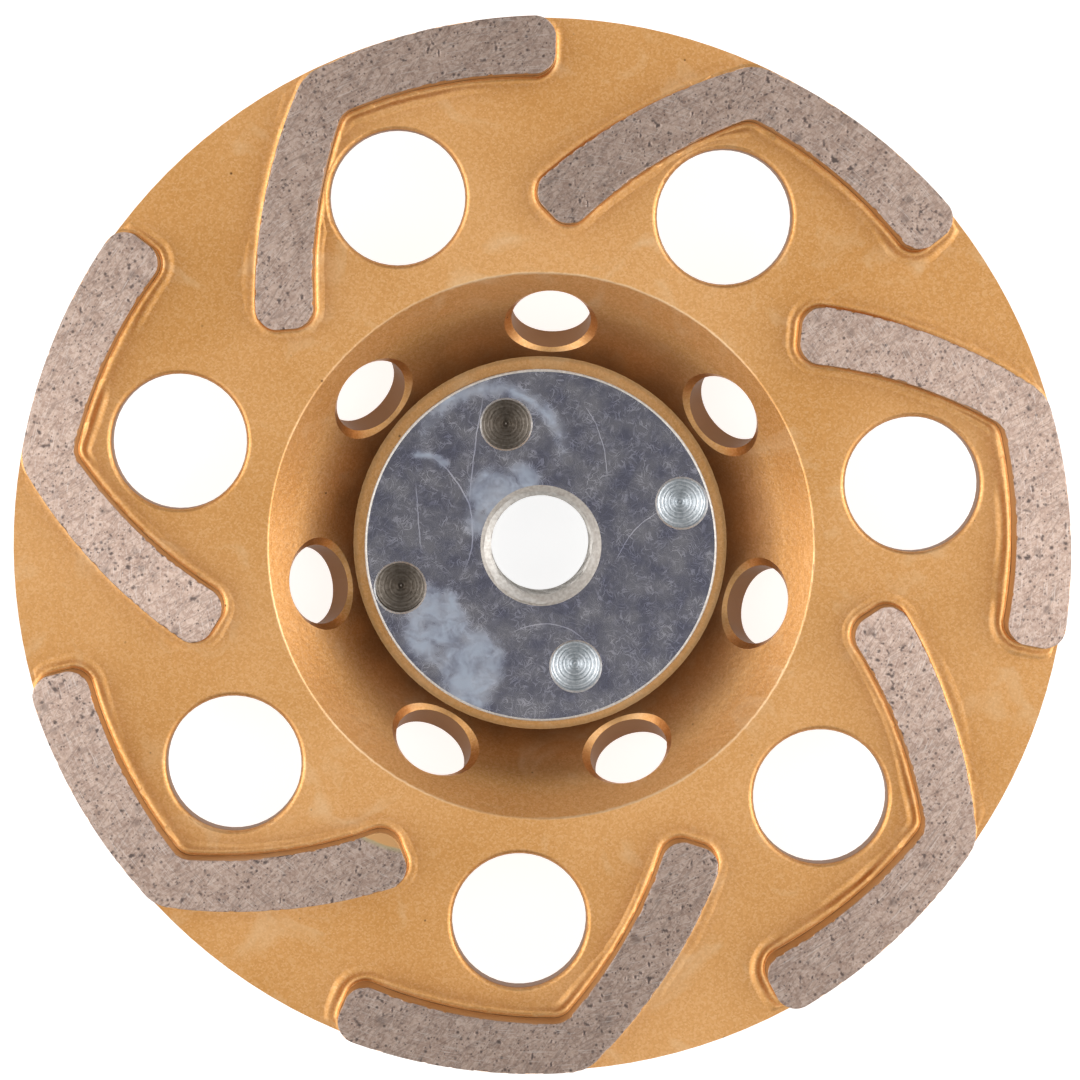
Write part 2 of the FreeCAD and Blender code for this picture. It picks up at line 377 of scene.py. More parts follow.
def gold_metallic_paint(name, wall_dulling_and_shade):
    """Metallic paint sprayed on steel and stoved: fine bronze flakes under a thin satin film.

    The flakes are drawn at 0.2 mm, coarser than real ones, so that their grain shows from a
    step away. Inner walls get a duller, less metallic coat and painted shade, a darker brown,
    as much as wall_dulling_and_shade says.
    """
    material, tree, shader = new_material(name)
    place = add(tree, "ShaderNodeTexCoord", {}).outputs["Object"]
    cloud = add(tree, "ShaderNodeTexNoise",
                {"Vector": place, "Scale": per_mm(22), "Detail": 2.0})
    cloud_tone = add(tree, "ShaderNodeValToRGB", {"Fac": cloud.outputs["Fac"]},
                     stops=[(0.35, "#cf9450"), (0.65, "#e2a96a")])
    flake = add(tree, "ShaderNodeTexVoronoi", {"Vector": place, "Scale": per_mm(0.2)})
    flake_part = add(tree, "ShaderNodeSeparateColor", {"Color": flake.outputs["Color"]})
    flake_tone = add(tree, "ShaderNodeValToRGB", {"Fac": flake_part.outputs["Red"]},
                     stops=[(0.0, "#c48d52"), (0.5, "#dfa86c"), (1.0, "#f4cb9c")])
    smear = add(tree, "ShaderNodeTexNoise",
                {"Vector": place, "Scale": per_mm(9), "Detail": 4.0, "Distortion": 1.6})
    smear_part = add(tree, "ShaderNodeMapRange",
                     {"Value": smear.outputs["Fac"], "From Min": 0.57, "From Max": 0.75,
                      "To Max": 0.4})

    # The paint is worn light along the cup's mouth
    flat = wobbled(tree, place, 0.8, 0.3, 1.0)
    mouth = near(tree, flat, 0, 0, CUP_MOUTH_R + 0.05, CUP_MOUTH_R + 0.2)
    inside = near(tree, flat, 0, 0, CUP_MOUTH_R - 0.2, CUP_MOUTH_R - 0.05)
    edge = add(tree, "ShaderNodeMath", {0: mouth, 1: inside}, operation="SUBTRACT")
    rubbed = add(tree, "ShaderNodeMapRange",
                 {"Value": cloud.outputs["Fac"], "From Min": 0.4, "From Max": 0.6,
                  "To Min": 0.05, "To Max": 0.5})
    worn = add(tree, "ShaderNodeMath", {0: edge.outputs[0], 1: rubbed.outputs[0]},
               operation="MULTIPLY")

    # Painted shade: the paint colour is darkened in the corner round the hub, less so on the ring
    # beside it
    corner = near(tree, flat, 0, 0, HUB_R + 1.5, HUB_R + 4.5)
    hub_ring = near(tree, flat, 0, 0, HUB_R + 0.9, HUB_R + 1.3)
    corner = add(tree, "ShaderNodeMath", {0: corner, 1: 0.6}, operation="MULTIPLY")
    corner = add(tree, "ShaderNodeMath", {0: hub_ring, 1: -0.4, 2: corner.outputs[0]},
                 operation="MULTIPLY_ADD")

    # Inner walls get a duller, less metallic coat, and painted shade: a darker brown colour
    wall = add(tree, "ShaderNodeMath", {0: inner_walls(tree, place), 1: wall_dulling_and_shade},
               operation="MULTIPLY").outputs[0]
    metal = add(tree, "ShaderNodeMapRange", {"Value": wall, "To Min": 1.0, "To Max": 0.3})
    rough = add(tree, "ShaderNodeMapRange", {"Value": wall, "To Min": 0.4, "To Max": 0.7})

    paint = layered(tree, cloud_tone.outputs[0], [
        (0.3, flake_tone.outputs[0]), (smear_part.outputs[0], "#efcfa4"),
        # 90704c over the corner round the hub is painted shade
        (worn.outputs[0], "#f8dcb4"), (corner.outputs[0], "#90704c"),
        # 8a6039 over the inner walls is painted shade
        (specks(tree, place, 3.4, 0.06, 0.6), "#6a4a2c"), (wall, "#8a6039"),
    ])
    peel = add(tree, "ShaderNodeTexNoise",
               {"Vector": place, "Scale": per_mm(0.7), "Detail": 3.0})
    bump = add(tree, "ShaderNodeBump", {"Height": peel.outputs["Fac"], "Distance": 0.03 * MM})
    tree.links.new(paint, shader.inputs["Base Color"])
    tree.links.new(metal.outputs[0], shader.inputs["Metallic"])
    tree.links.new(rough.outputs[0], shader.inputs["Roughness"])
    tree.links.new(bump.outputs[0], shader.inputs["Normal"])
    shader.inputs["Coat Weight"].default_value = 0.2
    shader.inputs["Coat Roughness"].default_value = 0.3
    return material


def zinc_plated_steel():
    """Turned steel with bright zinc plate: a blue-grey mirror, scratched and hazy in patches.

    The fine scratches are drawn 0.14 mm wide, coarser than real ones, so that they show.
    """
    material, tree, shader = new_material("zinc_plate_on_turned_steel")
    place = add(tree, "ShaderNodeTexCoord", {}).outputs["Object"]
    cloud = add(tree, "ShaderNodeTexNoise",
                {"Vector": place, "Scale": per_mm(3), "Detail": 6.0})
    tone = add(tree, "ShaderNodeValToRGB", {"Fac": cloud.outputs["Fac"]},
               stops=[(0.35, "#8c8c9d"), (0.65, "#b3b1b9")])

    # Haze: patches and bands with uneven edges, broken up into wisps
    flat = wobbled(tree, place, 1.8, 1.6)
    spots = [near(tree, flat, x, y, radius - 0.8, radius + 0.7) for x, y, radius in HAZE_PATCHES]
    haze = greatest(tree, spots + [arc_marks(tree, flat, HAZE_BANDS, 0.1)])
    wisp = add(tree, "ShaderNodeTexNoise",
               {"Vector": place, "Scale": per_mm(2.4), "Detail": 6.0, "Distortion": 1.2})
    wisps = add(tree, "ShaderNodeMapRange",
                {"Value": wisp.outputs["Fac"], "From Min": 0.3, "From Max": 0.65,
                 "To Min": 0.25, "To Max": 0.9})
    haze = add(tree, "ShaderNodeMath", {0: haze, 1: wisps.outputs[0]},
               operation="MULTIPLY").outputs[0]

    # Scratches: fine, slightly curled ones all over, and the few long ones
    curled = wobbled(tree, place, 1.6, 1.8, 1.0)
    fine = short_scratches(tree, curled, 0.14, 1.3, (8, 52, 103, 149), 0.64)
    dense = add(tree, "ShaderNodeMapRange",
                {"Value": wisp.outputs["Fac"], "From Min": 0.35, "From Max": 0.6,
                 "To Min": 0.08, "To Max": 0.36})
    fine = add(tree, "ShaderNodeMath", {0: fine, 1: dense.outputs[0]},
               operation="MULTIPLY").outputs[0]
    long = arc_marks(tree, wobbled(tree, place, 3.0, 0.5), SCRATCHES, 0.3)
    marks = greatest(tree, [fine, long])

    dull = add(tree, "ShaderNodeMath", {0: haze, 1: marks}, operation="ADD")
    rough = add(tree, "ShaderNodeMapRange",
                {"Value": dull.outputs[0], "To Min": 0.2, "To Max": 0.44})
    hazed = layered(tree, tone.outputs[0], [(haze, "#a0a9b6")])
    tree.links.new(hazed, shader.inputs["Base Color"])
    tree.links.new(rough.outputs[0], shader.inputs["Roughness"])
    shader.inputs["Metallic"].default_value = 1.0
    return material


def machined_steel(name, pale, dark, roughness, metallic):
    """Drilled or turned steel inside a hole: plain grey metal with fine uneven tool marks."""
    material, tree, shader = new_material(name)
    place = add(tree, "ShaderNodeTexCoord", {}).outputs["Object"]
    cloud = add(tree, "ShaderNodeTexNoise",
                {"Vector": place, "Scale": per_mm(0.4), "Detail": 4.0})
    tone = add(tree, "ShaderNodeValToRGB", {"Fac": cloud.outputs["Fac"]},
               stops=[(0.35, dark), (0.65, pale)])
    tree.links.new(tone.outputs[0], shader.inputs["Base Color"])
    shader.inputs["Metallic"].default_value = metallic
    shader.inputs["Roughness"].default_value = roughness
    return material


def ground_sinter():
    """Sintered metal bond full of diamond grit, ground flat: pinkish grey, pitted and scratched.

    The grinding marks are drawn 0.14 to 0.16 mm wide, coarser than real ones, so that they show.
    """
    material, tree, shader = new_material("diamond_sinter_ground")
    place = add(tree, "ShaderNodeTexCoord", {}).outputs["Object"]
    cloud = add(tree, "ShaderNodeTexNoise",
                {"Vector": place, "Scale": per_mm(1.3), "Detail": 6.0, "Roughness": 0.7})
    tone = add(tree, "ShaderNodeValToRGB", {"Fac": cloud.outputs["Fac"]},
               stops=[(0.36, "#a68c7d"), (0.62, "#c8af9f")])
    grain = add(tree, "ShaderNodeTexVoronoi", {"Vector": place, "Scale": per_mm(0.26)})
    grain_part = add(tree, "ShaderNodeSeparateColor", {"Color": grain.outputs["Color"]})
    grain_tone = add(tree, "ShaderNodeValToRGB", {"Fac": grain_part.outputs["Red"]},
                     stops=[(0.0, "#877066"), (0.4, "#baa295"), (1.0, "#dccbc1")])

    # Dark grit in three sizes, the largest as faint blotches
    blotch = add(tree, "ShaderNodeMath", {0: specks(tree, place, 2.3, 0.3, 0.5), 1: 0.5},
                 operation="MULTIPLY")
    grit = greatest(tree, [specks(tree, place, 0.75, 0.34, 0.6),
                           specks(tree, place, 0.4, 0.36, 0.66), blotch.outputs[0]])

    # Grinding marks: dark straight cuts, and pale streaks along the way that the wheel turns
    cuts = short_scratches(tree, place, 0.16, 3.5, (33, 61), 0.62)
    cuts = add(tree, "ShaderNodeMath", {0: cuts, 1: 0.3}, operation="MULTIPLY")
    parts = add(tree, "ShaderNodeSeparateXYZ", {"Vector": place})
    swing = add(tree, "ShaderNodeMath", {0: parts.outputs["Y"], 1: parts.outputs["X"]},
                operation="ARCTAN2")
    flat = flattened(tree, place)
    out = add(tree, "ShaderNodeVectorMath", {0: flat}, operation="LENGTH")
    ring = add(tree, "ShaderNodeCombineXYZ", {"X": out.outputs["Value"], "Y": swing.outputs[0]})
    long_way = add(tree, "ShaderNodeVectorMath", {0: ring.outputs[0], 1: (per_mm(0.14), 18, 0)},
                   operation="MULTIPLY")
    streak = add(tree, "ShaderNodeTexNoise",
                 {"Vector": long_way.outputs[0], "Scale": 1.0, "Detail": 2.0})
    streak_part = add(tree, "ShaderNodeMapRange",
                      {"Value": streak.outputs["Fac"], "From Min": 0.58, "From Max": 0.72,
                       "To Max": 0.45})

    # One segment's corner stands lower than the ground top, so its paint stayed, with a thin edge
    spread = wobbled(tree, place, 1.5, 0.3)
    painted = near(tree, spread, *UNGROUND_DISC, UNGROUND_R - 0.1, UNGROUND_R + 0.1)
    thin_paint = near(tree, spread, *UNGROUND_DISC, UNGROUND_R + 0.1, UNGROUND_R + 0.6)

    pits = add(tree, "ShaderNodeAttribute", {}, attribute_name="pit")
    top = layered(tree, tone.outputs[0], [
        (0.35, grain_tone.outputs[0]), (grit, "#6c5d57"), (cuts.outputs[0], "#6f625c"),
        (streak_part.outputs[0], "#e2d7d0"), (pits.outputs["Fac"], "#665954"),
        (thin_paint, "#baa985"), (painted, "#dba871"),
    ])
    bump = add(tree, "ShaderNodeBump", {"Height": streak.outputs["Fac"], "Distance": 0.03 * MM})
    tree.links.new(top, shader.inputs["Base Color"])
    tree.links.new(flat, shader.inputs["Tangent"])
    tree.links.new(bump.outputs[0], shader.inputs["Normal"])
    shader.inputs["Metallic"].default_value = 0.9
    shader.inputs["Roughness"].default_value = 0.45
    shader.inputs["Anisotropic"].default_value = 0.8
    return material


# Segments


def circle_through(first, second, third):
    """Centre and radius of the circle through three points."""
    rows = 2 * np.array([second - first, third - first])
    centre = np.linalg.solve(rows, [second @ second - first @ first, third @ third - first @ first])
    return centre, np.linalg.norm(first - centre)


def meet(start, direction, centre, radius):
    """The point nearest the start, on a line through it, that lies a radius from a centre."""
    gap = start - centre
    along = gap @ direction
    root = math.sqrt(along * along - gap @ gap + radius * radius)
    return start + min(-along - root, -along + root, key=abs) * direction


def arc(centre, start, end, count):
    """Points on the shorter arc about a centre, from a start to the direction of an end."""
    first, last = (math.atan2(*(p - centre)[::-1]) for p in (start, end))
    turn = (last - first + math.pi) % (2 * math.pi) - math.pi
    turns = first + turn * np.linspace(0, 1, count)
    return centre + polar(np.linalg.norm(start - centre), np.degrees(turns))


def mirrored(points):
    """Mirror images across the line that halves a segment's bend."""
    normal = polar(1.0, 90 + ELBOW_TURN / 2)
    return points - 2 * ((points - polar(ELBOW_MID_R, 0)) @ normal)[:, None] * normal


CORNER_STEPS = 13
ARM_STEPS = 168
ELBOW_STEPS = 9


def segment_side(side):
    """One long side of a segment, 1 for the rim's side and -1 for the other, from end to end."""
    edge_r = WHEEL_R - RIM_GAP if side > 0 else WHEEL_R - ARM_END_W
    corner_r = ELBOW_OUTER_R if side > 0 else ELBOW_INNER_R
    outward, along = polar(1.0, -ARM_ARC), polar(1.0, 90 - ARM_ARC)
    crease = polar(1.0, ELBOW_TURN / 2)
    end = edge_r * outward
    half_w = ARM_ELBOW_W / 2 / math.cos(math.radians(ELBOW_TURN / 2))
    bend = polar(ELBOW_MID_R, 0) + side * half_w * crease
    middle = polar((edge_r + np.linalg.norm(bend)) / 2, -ARM_ARC / 2)
    centre, radius = circle_through(end, middle, bend)
    end_centre = meet(end + END_CORNER_R * along, outward, centre, radius - side * END_CORNER_R)
    elbow_centre = meet(bend, crease, centre, radius - corner_r)
    on_arc = [centre + (c - centre) * radius / np.linalg.norm(c - centre)
              for c in (end_centre, elbow_centre)]
    half = np.concatenate([
        arc(end_centre, end_centre - END_CORNER_R * along, on_arc[0], CORNER_STEPS)[:-1],
        arc(centre, on_arc[0], on_arc[1], ARM_STEPS)[:-1],
        arc(elbow_centre, on_arc[1], elbow_centre + corner_r * crease, ELBOW_STEPS),
    ])
    return np.concatenate([half, mirrored(half[-2::-1])])


SEGMENT_CELLS = 44
WALL_DEPTHS = [0.0, 0.08, 0.18, 0.32, 0.55, 0.9, 1.4, 2.0, 2.7, 3.5, 4.3, 5.1]


def outline_loop(grid):
    """The rim of a grid of points as one anticlockwise loop."""
    return np.concatenate([grid[:, -1], grid[-1, -2::-1], grid[-2::-1, 0], grid[0, 1:-1]])


def outward_normals(loop):
    """Unit normals that point out of an anticlockwise loop in the plane."""
    along = np.roll(loop, -1, axis=0) - np.roll(loop, 1, axis=0)
    along /= np.linalg.norm(along, axis=1)[:, None]
    return np.stack([along[:, 1], -along[:, 0]], axis=1)


def diamond_segment(number, materials):
    """One bent segment: pitted, ground top, chipped edges and painted, slightly lumpy walls."""
    angle = ELBOW_FIRST_ANGLE + number * STATION_STEP + HAND_SET_TURNS[number]
    outer, inner = (turned(segment_side(side), angle) for side in (1, -1))
    share = np.linspace(0, 1, SEGMENT_CELLS + 1)[None, :, None]
    grid = inner[:, None] * (1 - share) + outer[:, None] * share
    stations, columns = grid.shape[:2]
    numbers = np.arange(stations * columns).reshape(stations, columns)
    rim_numbers = outline_loop(numbers)
    rim = outline_loop(grid)
    normals = outward_normals(rim)

    flat = np.column_stack([grid.reshape(-1, 2), np.full(stations * columns, SEGMENT_TOP)])
    pits = pit_depths(flat)
    rows = []
    for depth in WALL_DEPTHS + [SEGMENT_TOP - PLATE_TOP]:
        row = np.column_stack([rim, np.full(len(rim), SEGMENT_TOP - depth)])
        chip = CHIP_LEAST + CHIP_MORE * smooth_step(0.1, 0.9, soft_noise(row, 0.6, 11 + number))
        chip = chip * math.exp(-depth / CHIP_FADE)
        lumps = WALL_LUMP * (1 + soft_noise(row, 1.3, 31)) * min(1, depth)
        row[:, :2] -= normals * (chip + lumps)[:, None]
        rows.append(row)
    flat[rim_numbers, :2] = rows[0][:, :2]
    flat[:, 2] -= PIT_DEPTH * pits
    flat[rim_numbers, 2] -= EDGE_RUBBED

    points = np.concatenate([flat] + rows[1:])
    count = len(rim)
    faces = [face[::-1] for face in grid_faces(stations, columns)]
    top_count = len(faces)
    first_row = len(flat)
    for i in range(count):
        after = (i + 1) % count
        faces.append((rim_numbers[after], rim_numbers[i], first_row + i, first_row + after))
    faces += [face[::-1] for face in grid_faces(len(rows) - 1, count, first_row, closed=True)]
    last_row = first_row + (len(rows) - 2) * count
    faces += foot_faces(last_row, stations, columns, count)

    piece = new_piece("segment_%d_ground_top" % (number + 1), points, faces, materials,
                      ["diamond_segment_%d" % (number + 1)])
    shown = np.zeros(len(faces), int)
    shown[top_count:] = 1
    piece.data.polygons.foreach_set("material_index", shown)
    values = np.zeros(len(points))
    values[:len(flat)] = pits
    piece.data.attributes.new("pit", "FLOAT", "POINT").data.foreach_set("value", values)
    return piece


def pit_depths(points):
    """How deep each point of a ground top lies in a pit or a torn patch, from 0 to 1."""
    coarse = soft_noise(points, 0.55, 3) + 0.6 * soft_noise(points, 0.28, 4)
    cluster = 0.35 * soft_noise(points, 3.0, 5)
    return smooth_step(0.62, 1.0, coarse + cluster)


def foot_faces(first, stations, columns, count):
    """Faces that close a segment's foot, from the last loop of its wall."""
    far = stations + columns - 2
    faces = []
    for i in range(1, stations - 2):
        across = far + stations - 1 - i
        faces.append((first + i, first + across, first + across - 1, first + i + 1))
    near_end = list(range(far + stations - 2, count)) + [0, 1]
    far_end = list(range(stations - 2, far + 2))
    return faces + [[first + i for i in reversed(end)] for end in (near_end, far_end)]


# Braze beads

BEAD_STEP = 0.16
BEAD_COLUMNS = 20


def even_path(points, step):
    """A line of points resampled at even steps."""
    runs = np.linalg.norm(np.diff(points, axis=0), axis=1)
    gone = np.concatenate([[0], np.cumsum(runs)])
    places = np.linspace(0, gone[-1], int(gone[-1] / step) + 1)
    return np.column_stack([np.interp(places, gone, points[:, axis]) for axis in (0, 1)])


def bead_path(number):
    """The segment's foot line from its elbow's rim side, round its inner arm, to the rim."""
    angle = ELBOW_FIRST_ANGLE + number * STATION_STEP + HAND_SET_TURNS[number]
    outer, inner = (turned(segment_side(side), angle) for side in (1, -1))
    elbow = len(outer) // 2
    return even_path(np.concatenate([outer[elbow:], inner[::-1], outer[:CORNER_STEPS]]), BEAD_STEP)


def bead_room(path, normals):
    """How wide the bead may be at each point before it meets the rim or a vent hole's edge."""
    ahead = np.sum(path * normals, axis=1)
    room = np.sqrt(ahead ** 2 - np.sum(path ** 2, axis=1) + (WHEEL_R - BEAD_RIM_ROOM) ** 2) - ahead
    for k in range(STATION_COUNT):
        centre = polar(VENT_CIRCLE_R, VENT_FIRST_ANGLE + k * STATION_STEP)
        room = np.minimum(room, np.linalg.norm(path - centre, axis=1) - VENT_R - VENT_EDGE)
    return np.clip(room, BEAD_LEAST_ROOM, None)


def braze_bead(number, material):
    """A lumpy bead of braze round one segment's foot: a hollow, a low crest and a thin edge."""
    path = bead_path(number)
    along = np.gradient(path, axis=0)
    along /= np.linalg.norm(along, axis=1)[:, None]
    normals = np.stack([along[:, 1], -along[:, 0]], axis=1)
    length = np.arange(len(path)) * BEAD_STEP
    line = np.column_stack([length, np.full_like(length, 7.0 * number), length * 0])
    place = length / length[-1]
    wide = np.interp(place, BEAD_PLACES, BEAD_WIDTHS) * (1 + 0.15 * soft_noise(line, 5.0, 51))
    part = np.minimum(1, bead_room(path, normals) / wide)
    crest = np.interp(place, BEAD_PLACES, BEAD_CRESTS)
    crest *= smooth_step(-0.7, 0.3, soft_noise(line, 8.0, 56))
    crest *= 1 + 0.25 * soft_noise(line, 3.5, 52) + 0.12 * soft_noise(line, 1.2, 53)
    crest *= BEAD_STRENGTHS[number]
    crest_at = BEAD_CREST_AT * wide * (1 + 0.15 * soft_noise(line, 6.0, 54))
    wall_h = BEAD_WALL_H * (1 + 0.1 * soft_noise(line, 2.2, 57))
    ends = smooth_step(0, BEAD_END_RUN, length)
    ends *= smooth_step(0, BEAD_END_RUN, length[-1] - length)

    rows = []
    for share in np.linspace(0, 1, BEAD_COLUMNS) ** 1.3:
        out = share * wide
        height = wall_h * np.exp(-out / BEAD_WALL_REACH)
        height += crest * np.exp(-((out - crest_at) / (BEAD_CREST_REACH * wide)) ** 2)
        height *= 1 - smooth_step(0.5, 1.0, share)
        at = path + normals * (out * part)[:, None]
        at *= np.minimum(1, (WHEEL_R - BEAD_RIM_GAP) / np.linalg.norm(at, axis=1))[:, None]
        row = np.column_stack([at, PLATE_TOP + height * part * ends - BEAD_EDGE_SINK * share])
        row[:, 2] += BEAD_GRAIN * soft_noise(row, 0.6, 55) * part * (1 - share)
        rows.append(row)
    foot = PLATE_TOP - BEAD_FOOT_DEPTH
    inner_foot = np.column_stack([path, np.full(len(path), foot)])
    outer_foot = np.column_stack([rows[-1][:, :2], np.full(len(path), foot)])
    rows = [inner_foot] + rows + [outer_foot]
    columns = len(rows)
    points = np.stack(rows, axis=1).reshape(-1, 3)
    faces = grid_faces(len(path), columns, closed=True)
    faces.append(list(range(columns))[::-1])
    faces.append(list(range(len(points) - columns, len(points))))
    return new_piece("braze_bead_%d" % (number + 1), points, faces, [material])


# Hub

ROUND_STEPS = 288
THREAD_ROWS = 116
PIN_STEPS = 72
PIN_FLOOR_RINGS = 56
# Places of the hub's materials: its outside, its bore and edge, and its two kinds of hole, a lit
# and a shaded copy of one drilled steel whose colours are painted light and shade
OUTSIDE, BORE, SHADED_COPY_HOLE, LIT_COPY_HOLE = range(4)


def lathe_rows(profile, steps=ROUND_STEPS):
    """Rings of points about the axis, one for each radius and height."""
    angles = np.arange(steps) * 360 / steps
    return [np.column_stack([polar(r, angles), np.full(steps, z)]) for r, z in profile]


def thread_rows():
    """Rings of the threaded bore from its back mouth to its front mouth."""
    angles = np.arange(ROUND_STEPS) * 360 / ROUND_STEPS
    crest, root = THREAD_PITCH / 4, THREAD_PITCH / 8
    flank = (THREAD_PITCH - crest - root) / 2
    rows = []
    for z in np.linspace(hub_low.z, HUB_FACE, THREAD_ROWS):
        phase = (z - THREAD_PITCH * angles / 360) % THREAD_PITCH
        depth = np.interp(phase, [0, flank, flank + root, 2 * flank + root], [0, 1, 1, 0])
        mouth = THREAD_MOUTH_R - min(z - hub_low.z, HUB_FACE - z)
        radius = np.maximum(THREAD_MINOR_R + THREAD_DEPTH * depth, mouth)
        if mouth > THREAD_MOUTH_R - 0.001:
            radius = np.full(ROUND_STEPS, THREAD_MOUTH_R)
        rows.append(np.column_stack([polar(radius, angles), np.full(ROUND_STEPS, z)]))
    return rows


def pin_hole_rows(radius, angle, dull):
    """Rings of one blind hole, from its edge down to its pointed floor with its drill's rings."""
    profile = [(PIN_HOLE_R + PIN_HOLE_EDGE, 0), (PIN_HOLE_R, PIN_HOLE_EDGE)]
    profile += [(PIN_HOLE_R, depth) for depth in (0.6, 1.6, 2.8, PIN_HOLE_DEPTH)]
    for share in np.linspace(0.96, 0.04, PIN_FLOOR_RINGS):
        ring = math.sin(share * 43) + 0.5 * math.sin(share * 71)
        # dull marks a hole that takes the shaded copy of the drilled steel, which is painted shade
        ring *= PIN_RING_SHADED_COPY if dull else PIN_RING_LIT_COPY
        ring += 3 * max(0, PIN_DIMPLE_SHARE - share)
        profile.append((PIN_HOLE_R * share, PIN_HOLE_DEPTH + PIN_POINT_DEPTH * (1 - share) + ring))
    rows = lathe_rows([(r, HUB_FACE - depth) for r, depth in profile], PIN_STEPS)
    centre = polar(radius, angle)
    for row in rows:
        row[:, :2] += centre
    return rows


def threaded_hub(materials):
    """Turned hub with an M14 thread and four blind pin holes.

    Its flat face is filled between its rim, its bore and its holes, and stays flat shaded.
    """
    body = lathe_rows([
        (THREAD_MOUTH_R, hub_low.z), (SPIGOT_R - SPIGOT_EDGE, hub_low.z), (SPIGOT_R, SPIGOT_EDGE),
        (SPIGOT_R, WEB_TOP), (HUB_R, WEB_TOP), (HUB_R, HUB_FACE - HUB_EDGE),
        (HUB_R - HUB_EDGE * 0.3, HUB_FACE - HUB_EDGE * 0.3), (HUB_R - HUB_EDGE, HUB_FACE),
    ])
    bore = thread_rows()
    points = body + bore[1:]
    faces = grid_faces(len(body), ROUND_STEPS, closed=True)
    first = len(body) * ROUND_STEPS
    start = list(range(ROUND_STEPS))
    ring = list(range(first, first + ROUND_STEPS))
    for i in range(ROUND_STEPS):
        after = (i + 1) % ROUND_STEPS
        faces.append((start[after], start[i], ring[i], ring[after]))
    faces += [face[::-1] for face in grid_faces(len(bore) - 1, ROUND_STEPS, first, closed=True)]
    shown = [OUTSIDE] * ((len(body) - 3) * ROUND_STEPS)
    shown += [BORE] * (len(faces) - len(shown))
    rim = list(range(first - ROUND_STEPS, first))
    mouth_first = first + (len(bore) - 2) * ROUND_STEPS
    loops = [rim, list(range(mouth_first, mouth_first + ROUND_STEPS))]
    count = mouth_first + ROUND_STEPS
    for radius, angle, dull in PIN_HOLES:
        hole = pin_hole_rows(radius, angle, dull)
        faces += [face[::-1] for face in grid_faces(len(hole), PIN_STEPS, count, closed=True)]
        loops.append(list(range(count, count + PIN_STEPS)))
        points += hole
        count += len(hole) * PIN_STEPS
        faces.append(list(range(count - PIN_STEPS, count)))
        # Every hole's edge takes the lit copy, and its wall and floor take the lit or the shaded
        # copy: painted light and shade
        shown += [LIT_COPY_HOLE] * PIN_STEPS
        shown += [SHADED_COPY_HOLE if dull else LIT_COPY_HOLE] * (len(faces) - len(shown))
    points = np.concatenate(points)
    numbers = list(itertools.chain(*loops))
    for face in tessellate_polygon([[Vector(points[i]) for i in loop] for loop in loops]):
        face = [numbers[i] for i in face]
        a, b, c = (points[i] for i in face)
        faces.append(face if np.cross(b - a, c - a)[2] > 0 else face[::-1])
    piece = new_piece("hub_threaded_m14", points, faces, materials,
                      ["hub_insert"], sharp=35)
    flat_first = len(shown)
    shown += [OUTSIDE] * (len(faces) - flat_first)
    piece.data.polygons.foreach_set("material_index", shown)
    for face in piece.data.polygons[flat_first:]:
        face.use_smooth = False
    return piece


# Studio

# Camera 0.6 m over the plate and a little above the wheel's middle in the picture, in metres
CAMERA_AT = Vector((-0.0079, 0.0255, PLATE_TOP * MM + 0.6))
CAMERA_AIM = Vector((-0.000143, 0.000755, PLATE_TOP * MM))
PIXELS_PER_MM = 8.432
PICTURE_PIXELS = 1080
SENSOR_MM = 36.0
LIGHTS_AIM = Vector((0, 0, 0.015))
# The room's light by direction: what its walls give along X, Y and Z, what that changes towards
# the ceiling, and the squared height from which the ceiling's dark opening begins and is full
WALL_LEVELS = (0.92, 0.93, 1.25)
CEILING_LEVELS = (3.7, -3.4, 0)
OPENING_EDGE = (0.941, 0.984)
OPENING_LEVEL = 0.12
# Floor: half its side in metres, how far it lies under the wheel in millimetres, and how much
# it glows for the camera and in reflections
FLOOR_HALF = 1.5
FLOOR_DROP = 0.02
FLOOR_GLOW = 0.8


def add_camera():
    """The photograph's view: nearly straight down the wheel's axis, with +Y up."""
    data = bpy.data.cameras.new("camera")
    distance = (CAMERA_AIM - CAMERA_AT).length
    data.sensor_width = SENSOR_MM
    data.lens = PIXELS_PER_MM * distance / MM / PICTURE_PIXELS * SENSOR_MM
    data.clip_start, data.clip_end = 0.01, 10.0
    camera = bpy.data.objects.new("camera", data)
    forward = (CAMERA_AIM - CAMERA_AT).normalized()
    right = forward.cross(Vector((0, 1, 0))).normalized()
    up = right.cross(forward)
    turn = Matrix((right, up, -forward)).transposed().to_4x4()
    camera.matrix_world = Matrix.Translation(CAMERA_AT) @ turn
    bpy.context.scene.collection.objects.link(camera)
    bpy.context.scene.camera = camera


def add_softbox(name, place, size, watts):
    """A soft light with a rectangular face that looks at the wheel."""
    data = bpy.data.lights.new(name, "AREA")
    data.shape = "RECTANGLE"
    data.size, data.size_y = size
    data.energy = watts
    light = bpy.data.objects.new(name, data)
    light.location = place
    light.rotation_euler = (LIGHTS_AIM - Vector(place)).to_track_quat("-Z", "Y").to_euler()
    bpy.context.scene.collection.objects.link(light)


